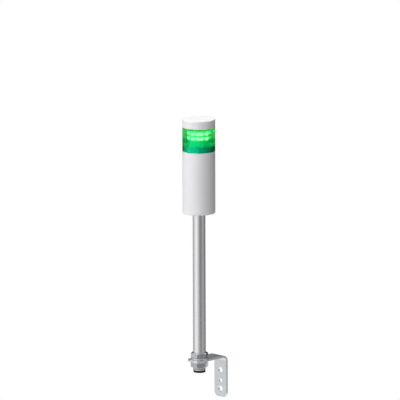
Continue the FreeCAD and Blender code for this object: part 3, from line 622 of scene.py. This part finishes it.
def finish_strip():
    """White solder mask of the LED strips, with a painted glow that stands in for the light of the rows.
    """
    material, tree, shader = new_material("strip_white", MASK_WHITE, Roughness=0.4, Emission_Strength=1.0)
    light = place_group(tree, painted_row_glow, Spread=1.5 * MM)
    # Painted glow: the strips give off light though they are no lamp.
    tree.links.new(mix_colours(tree, light.outputs["Rows"], STRIP_GLOW_AWAY, times(STRIP_GLOW_PALE, STRIP_GLOW_STRENGTH)),
                   shader.inputs["Emission Color"])
    return material


DRAWN_TUBE = dict(colour=ALUMINIUM, effect=drawn_lines, roughness=0.24, depth=0.0012 * MM, dark=0.93)


def finish_pole():
    """Drawn aluminium, with dirt and painted shade in the grooves of its thread."""
    material = finish_metal("pole_aluminium", **DRAWN_TUBE)
    tree = material.node_tree
    base_colour = find_node(tree, "BSDF_PRINCIPLED").inputs["Base Color"]
    metal = base_colour.links[0].from_socket
    _, radius = from_axis(tree)
    # Painted shade and dirt: the thread's roots darken to GROOVE_SHADE of the metal's colour.
    groove_dirt_and_shade = map_range(tree, radius, POLE_RADIUS - THREAD_DEPTH, THREAD_CREST, GROOVE_SHADE, 1.0)
    tree.links.new(mix_colours(tree, groove_dirt_and_shade, BLACK, metal), base_colour)
    return material


MOULDED_FINISHES = {
    "off_white_plastic": dict(colour=OFF_WHITE, roughness=0.42, grain_depth=0.004 * MM,
                              Specular_IOR_Level=0.4),
    "black_rubber": dict(colour=RUBBER_BLACK, roughness=0.6, grain_depth=0.006 * MM,
                         Specular_IOR_Level=0.15),
    "circuit_board": dict(colour=BOARD_GREEN, roughness=0.35, grain_depth=0.003 * MM),
    "black_plastic": dict(colour=PLASTIC_BLACK, roughness=0.5, grain_depth=0.003 * MM),
    "terminal_plastic": dict(colour=TERMINAL_GREEN, roughness=0.45, grain_depth=0.003 * MM),
    "capacitor_can": dict(colour=CAN_BLUE, roughness=0.3, grain_depth=0.002 * MM),
    "white_plastic": dict(colour=INNER_WHITE, roughness=0.5, grain_depth=0.003 * MM),
    "seal_rubber": dict(colour=SEAL_BLACK, roughness=0.6, grain_depth=0.004 * MM),
}
METAL_FINISHES = {
    "anodised_aluminium": DRAWN_TUBE,
    "zinc_plate": dict(colour=ZINC, effect=plating, roughness=0.3, depth=0.006 * MM, dark=0.88),
    "nut_zinc": dict(colour=times(ZINC, 0.88), effect=plating, roughness=0.2, depth=0.003 * MM, dark=0.9,
                     edge_radius=0.35 * MM),
    "cast_alloy": dict(colour=times(ALUMINIUM, 0.85), effect=plating, roughness=0.5, depth=0.01 * MM),
    "screw_steel": dict(colour=times(ZINC, 0.9), effect=drawn_lines, roughness=0.35, depth=0.002 * MM),
    "contact_brass": dict(colour=BRASS, effect=drawn_lines, roughness=0.25, depth=0.001 * MM),
}


def make_finishes():
    """Material for each slot of the record, and one each for the threaded pole and the nuts."""
    made = {name: finish_moulded(name, **look) for name, look in MOULDED_FINISHES.items()}
    made.update({name: finish_metal(name, **look) for name, look in METAL_FINISHES.items()})
    made.update(green_lens=finish_lens(), pole_aluminium=finish_pole(), strip_white=finish_strip(),
                led_resin=finish_led())
    return made


def dress_nodes():
    """Give every CAD node the finish of its slot, and the nuts their own."""
    slots = {part["node"]: part["material_slot"] for part in frame["record"]["subparts"]}
    slots.update(upper_nut="nut_zinc", lower_nut="nut_zinc")
    for node, slot in slots.items():
        materials = frame["nodes"][node].data.materials
        materials.clear()
        materials.append(finishes[slot])


finishes = make_finishes()
dress_nodes()


# ---------------------------------------------------------------- pole with its thread, and the bush's lip

def add_object(name, mesh, material):
    """Object of a finished mesh, in one material."""
    data = bpy.data.meshes.new(name)
    mesh.to_mesh(data)
    mesh.free()
    data.materials.append(material)
    made = bpy.data.objects.new(name, data)
    bpy.context.collection.objects.link(made)
    return made


def add_ring(mesh, height, radius_at, segments):
    """Level ring of points round the pole's axis, at a height above the pole's foot."""
    ring = []
    for index in range(segments):
        angle = math.tau * index / segments
        radius = radius_at(angle)
        ring.append(mesh.verts.new((pole_axis.x + radius * math.cos(angle),
                                    pole_axis.y + radius * math.sin(angle),
                                    pole_low[2] + height)))
    return ring


def skin_rings(mesh, rings):
    """Faces from ring to ring, and from the last one back to the first."""
    for lower, upper in zip(rings, rings[1:] + rings[:1]):
        for index in range(len(lower)):
            following = (index + 1) % len(lower)
            mesh.faces.new((lower[index], lower[following], upper[following], upper[index]))
    bmesh.ops.recalc_face_normals(mesh, faces=mesh.faces)


def smooth_but_edges(piece, crease):
    """Smooth shading, with edges sharper than a number of degrees kept sharp."""
    piece.data.shade_smooth()
    piece.data.set_sharp_from_angle(angle=math.radians(crease))


def held(value):
    """A value held between 0 and 1."""
    return min(max(value, 0.0), 1.0)


def thread_radius(height, angle):
    """Radius of the threaded end: a V thread that starts at the rim and fades out below its top."""
    turn = (height / THREAD_PITCH - angle / math.tau) % 1.0
    valley = 1.0 - abs(2.0 * turn - 1.0)
    flank = held((valley - THREAD_FLAT) / (1.0 - 2.0 * THREAD_FLAT))
    fade = held((THREAD_TOP - height) / THREAD_PITCH)
    lead_in = held((height - BUSH_LIP - RIM_CHAMFER) / THREAD_PITCH + THREAD_AT_RIM)
    return THREAD_CREST - THREAD_DEPTH * flank * fade * lead_in


def make_pole():
    """Tube with a helical thread cut into its lower end and a chamfered rim."""
    mesh = bmesh.new()
    rings = []

    def add(height, radius_at):
        """Next ring of the pole."""
        rings.append(add_ring(mesh, height, radius_at, POLE_SEGMENTS))

    add(BUSH_LIP, lambda angle: POLE_BORE)
    add(BUSH_LIP, lambda angle: THREAD_CREST - RIM_CHAMFER)
    height = BUSH_LIP + RIM_CHAMFER
    add(height, lambda angle: thread_radius(height, angle))
    while height < THREAD_TOP:
        height += THREAD_PITCH / THREAD_STEPS
        add(height, lambda angle: thread_radius(height, angle))
    pole_length = pole_high[2] - pole_low[2]
    add(height + THREAD_SHOULDER, lambda angle: POLE_RADIUS)
    add(pole_length, lambda angle: POLE_RADIUS)
    add(pole_length, lambda angle: POLE_BORE)
    skin_rings(mesh, rings)
    pole = add_object("pole_with_thread", mesh, finishes["pole_aluminium"])
    smooth_but_edges(pole, POLE_CREASE)
    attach(pole, "mast")
    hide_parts("pole_tube")


def make_bush_lip():
    """Lip of the bush, pressed up against the end of the tube: a turned ring with a rounded outer edge."""
    outer = POLE_RADIUS - BUSH_INSET
    profile = [(POLE_BORE, 0.0), (outer, 0.0)]
    for step in range(LIP_ROUND_STEPS + 1):
        angle = math.tau / 4 * step / LIP_ROUND_STEPS
        profile.append((outer - LIP_ROUND * (1.0 - math.cos(angle)),
                        BUSH_LIP - LIP_ROUND * (1.0 - math.sin(angle))))
    profile.append((POLE_BORE, BUSH_LIP))
    mesh = bmesh.new()
    skin_rings(mesh, [add_ring(mesh, height, lambda angle: radius, LIP_SEGMENTS)
                      for radius, height in profile])
    lip = add_object("bush_lip", mesh, finishes["black_rubber"])
    smooth_but_edges(lip, LIP_CREASE)
    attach(lip, "mast")


make_pole()
make_bush_lip()


# ---------------------------------------------------------------- studio

def direction(azimuth, elevation=0.0):
    """Unit vector from the object towards a bearing: azimuth 0 is -Y, 90 is +X."""
    turn, rise = math.radians(azimuth), math.radians(elevation)
    return Vector((math.sin(turn) * math.cos(rise), -math.cos(turn) * math.cos(rise), math.sin(rise)))


def aim_at(thing, target, azimuth, elevation, distance, roll=0.0):
    """Stand a lamp or camera at a bearing and distance from a point, turned to face it."""
    bearing = direction(azimuth, elevation)
    thing.location = target + bearing * distance
    thing.rotation_mode = "QUATERNION"
    tilt = Quaternion((0.0, 0.0, 1.0), math.radians(roll))
    thing.rotation_quaternion = bearing.to_track_quat("Z", "Y") @ tilt
    bpy.context.collection.objects.link(thing)


def make_floor_paint():
    """Pale matt paint: plain white seen from above, and clear from below."""
    material, tree, shader = new_material("floor_paint", FLOOR_GREY, Roughness=0.9)
    white = set_inputs(new_node(tree, "ShaderNodeEmission"), Color=(*WHITE, 1.0), Strength=1.0)
    shown = mix_shaders(tree, seen_first(tree), shader.outputs["BSDF"], white.outputs["Emission"])
    below = new_node(tree, "ShaderNodeNewGeometry").outputs["Backfacing"]
    clear = new_node(tree, "ShaderNodeBsdfTransparent").outputs["BSDF"]
    output = find_node(tree, "OUTPUT_MATERIAL")
    tree.links.new(mix_shaders(tree, below, shown, clear), output.inputs["Surface"])
    return material


def make_floor():
    """Round floor well below the light."""
    bpy.ops.mesh.primitive_circle_add(vertices=96, radius=FLOOR_RADIUS, fill_type="NGON",
                                      location=(pole_axis.x, pole_axis.y, cad_low[2] - FLOOR_DROP))
    floor = bpy.context.object
    floor.name = "floor"
    floor.data.materials.append(make_floor_paint())


def make_world():
    """White to the eye, and a low even light on everything else."""
    world = bpy.data.worlds.new("studio")
    tree = empty_tree(world)
    room = set_inputs(new_node(tree, "ShaderNodeBackground"), Color=(*WHITE, 1.0), Strength=ROOM_LEVEL)
    white = set_inputs(new_node(tree, "ShaderNodeBackground"), Color=(*WHITE, 1.0), Strength=1.0)
    shown = mix_shaders(tree, seen_first(tree), room.outputs["Background"], white.outputs["Background"])
    output = new_node(tree, "ShaderNodeOutputWorld")
    tree.links.new(shown, output.inputs["Surface"])
    bpy.context.scene.world = world


def make_flag_cloth():
    """Cloth of the flags: shows its woven-in grey at any light."""
    material = bpy.data.materials.new("flag_cloth")
    tree = empty_tree(material)
    shade = new_node(tree, "ShaderNodeAttribute", attribute_name="shade")
    cloth = set_inputs(new_node(tree, "ShaderNodeEmission"), Strength=1.0)
    tree.links.new(shade.outputs["Color"], cloth.inputs["Color"])
    output = new_node(tree, "ShaderNodeOutputMaterial")
    tree.links.new(cloth.outputs["Emission"], output.inputs["Surface"])
    return material


def shade_at(shades, bearing):
    """Grey at a bearing, between the written ones."""
    for (start, low), (end, high) in zip(shades, shades[1:]):
        if bearing <= end:
            return low + (high - low) * (bearing - start) / (end - start)
    return shades[-1][1]


def flag_posts(mesh, shades, distance, foot, head):
    """Upright posts of a flag: low point, high point and grey, by equal steps of bearing."""
    start, end = shades[0][0], shades[-1][0]
    steps = max(FLAG_PANELS, round((end - start) / FLAG_STEP))
    centre = Vector((pole_axis.x, pole_axis.y, 0.0))
    posts = []
    for index in range(steps + 1):
        bearing = start + (end - start) * index / steps
        place = centre + direction(CAMERA_AZIMUTH + bearing) * distance
        low = mesh.verts.new((place.x, place.y, foot))
        high = mesh.verts.new((place.x, place.y, head))
        posts.append((low, high, shade_at(shades, bearing)))
    return posts


def make_flag(name, cloth, shades, distance, foot, head):
    """Curved screen round the object, only seen in polished surfaces and through glass."""
    mesh = bmesh.new()
    layer = mesh.loops.layers.float_color.new("shade")
    posts = flag_posts(mesh, shades, distance, foot, head)
    for (low, high, grey), (next_low, next_high, next_grey) in zip(posts, posts[1:]):
        face = mesh.faces.new((low, next_low, next_high, high))
        for loop, value in zip(face.loops, (grey, next_grey, next_grey, grey)):
            loop[layer] = (value, value, value, 1.0)
    flag = add_object(name, mesh, cloth)
    for ray in ("camera", "diffuse", "volume_scatter", "shadow"):
        setattr(flag, f"visible_{ray}", False)


def make_softbox(name, azimuth, elevation, distance, width, height, power):
    """Rectangular area lamp that faces the light."""
    lamp = bpy.data.lights.new(name, "AREA")
    lamp.shape = "RECTANGLE"
    lamp.size = width
    lamp.size_y = height
    lamp.energy = power
    softbox = bpy.data.objects.new(name, lamp)
    softbox.visible_glossy = False
    aim_at(softbox, Vector((pole_axis.x, pole_axis.y, AIM_HEIGHT)), azimuth, elevation, distance)


def make_camera():
    """Long lens in front of the light, to the right of the bracket and a little above it."""
    data = bpy.data.cameras.new("camera")
    data.sensor_width = SENSOR_WIDTH
    data.lens = SENSOR_WIDTH * CAMERA_DISTANCE / FIELD_WIDTH
    data.clip_end = 100.0
    camera = bpy.data.objects.new("camera", data)
    turn = math.radians(CAMERA_AZIMUTH)
    aside = Vector((math.cos(turn), math.sin(turn), 0.0)) * AIM_ASIDE
    target = Vector((pole_axis.x, pole_axis.y, AIM_HEIGHT)) + aside
    aim_at(camera, target, CAMERA_AZIMUTH, CAMERA_ELEVATION, CAMERA_DISTANCE, CAMERA_ROLL)
    bpy.context.scene.camera = camera


make_floor()
make_world()
flag_cloth = make_flag_cloth()
for flag_row in FLAGS:
    make_flag(cloth=flag_cloth, **flag_row)
for softbox_row in SOFTBOXES:
    make_softbox(**softbox_row)
make_camera()
bpy.context.scene.view_settings.view_transform = "Standard"
